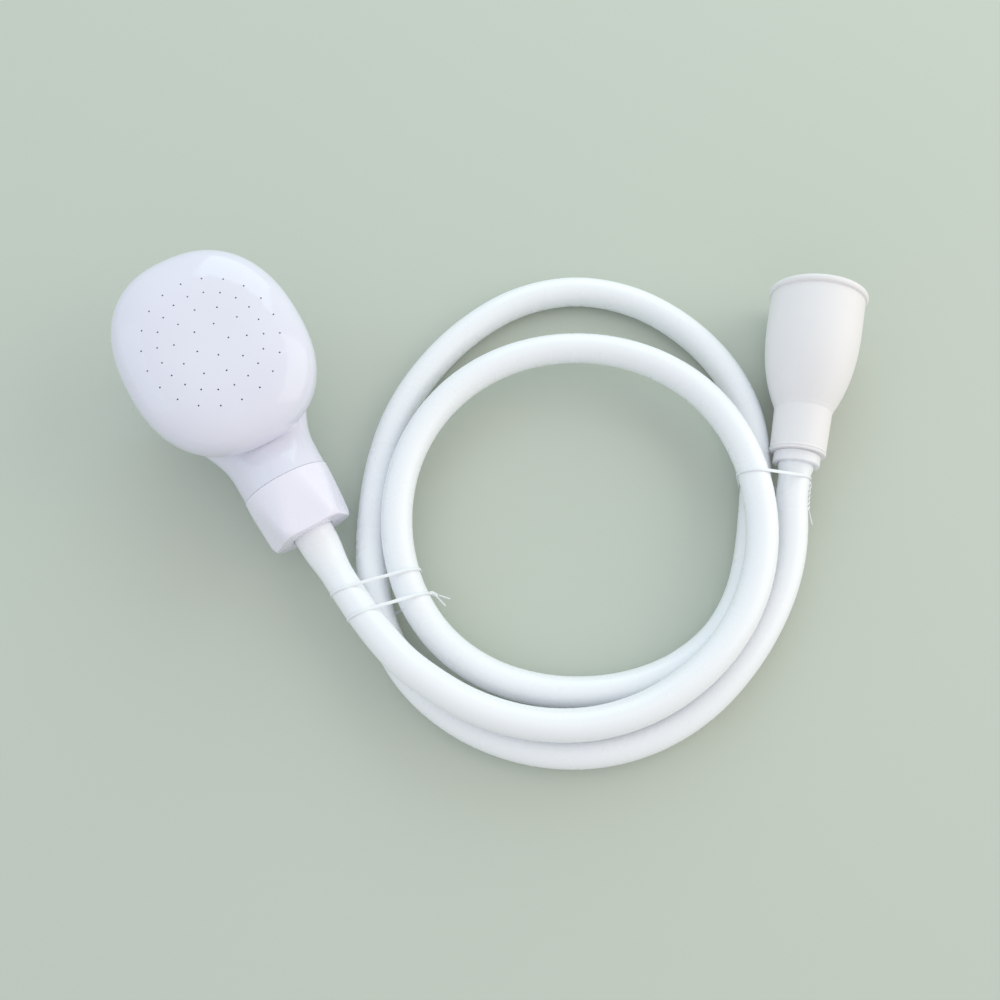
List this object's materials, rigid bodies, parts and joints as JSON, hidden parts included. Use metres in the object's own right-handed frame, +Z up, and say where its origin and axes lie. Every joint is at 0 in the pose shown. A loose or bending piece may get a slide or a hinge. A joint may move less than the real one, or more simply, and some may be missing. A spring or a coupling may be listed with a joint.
{
  "type": "handheld bath sprayer",
  "caption": "Oval hand spray head on a coiled clear-white hose with a union nut, and a slip-on rubber cup that pushes over a bath tap spout.",
  "frame": {"origin": "on the floor, under the middle of the box round the head, nut and tap cup", "axes": "+Z up; +X from the spray head toward the tap cup; +Y toward the side that the cup's mouth faces"},
  "size_m": [0.2912, 0.2003, 0.0612],
  "materials": {
    "white_plastic": "gloss",
    "nut_plastic": "satin",
    "seal_rubber": "matte",
    "inner_plastic": "satin",
    "hose": "gloss",
    "ferrule_plastic": "satin",
    "cup_rubber": "satin",
    "tie": "gloss"
  },
  "bodies": {
    "hose_line": {"hose_coil": "hose", "hose_head_end": "hose", "hose_tap_end": "hose", "head_tail": "inner_plastic", "tap_tail": "inner_plastic", "tap_ferrule": "ferrule_plastic", "tap_bell": "cup_rubber", "tie_left": "tie", "tie_right": "tie"},
    "swivel": {"union_washer": "seal_rubber"},
    "nut": {"union_nut": "nut_plastic"},
    "head": {"face_shell": "white_plastic", "back_shell": "white_plastic", "face_seal": "seal_rubber"}
  },
  "joints": [
    {"name": "head_swivel", "type": "hinge", "parent": "hose_line", "child": "swivel", "pos_m": [-0.07305, -0.04717, 0.017], "axis": [0.5049, -0.8504, -0.1478], "continuous": true},
    {"name": "nut_turn", "type": "hinge", "parent": "swivel", "child": "nut", "pos_m": [-0.07305, -0.04717, 0.017], "axis": [0.5049, -0.8504, -0.1478], "range_deg": [0, 1800]},
    {"name": "head_draw", "type": "slide", "parent": "swivel", "child": "head", "axis": [-0.5049, 0.8504, 0.1478], "range_m": [0, 0.0093]}
  ],
  "couplings": [
    {"joint": "head_draw", "follows": "nut_turn", "m_per_rad": 0.00028871}
  ]
}
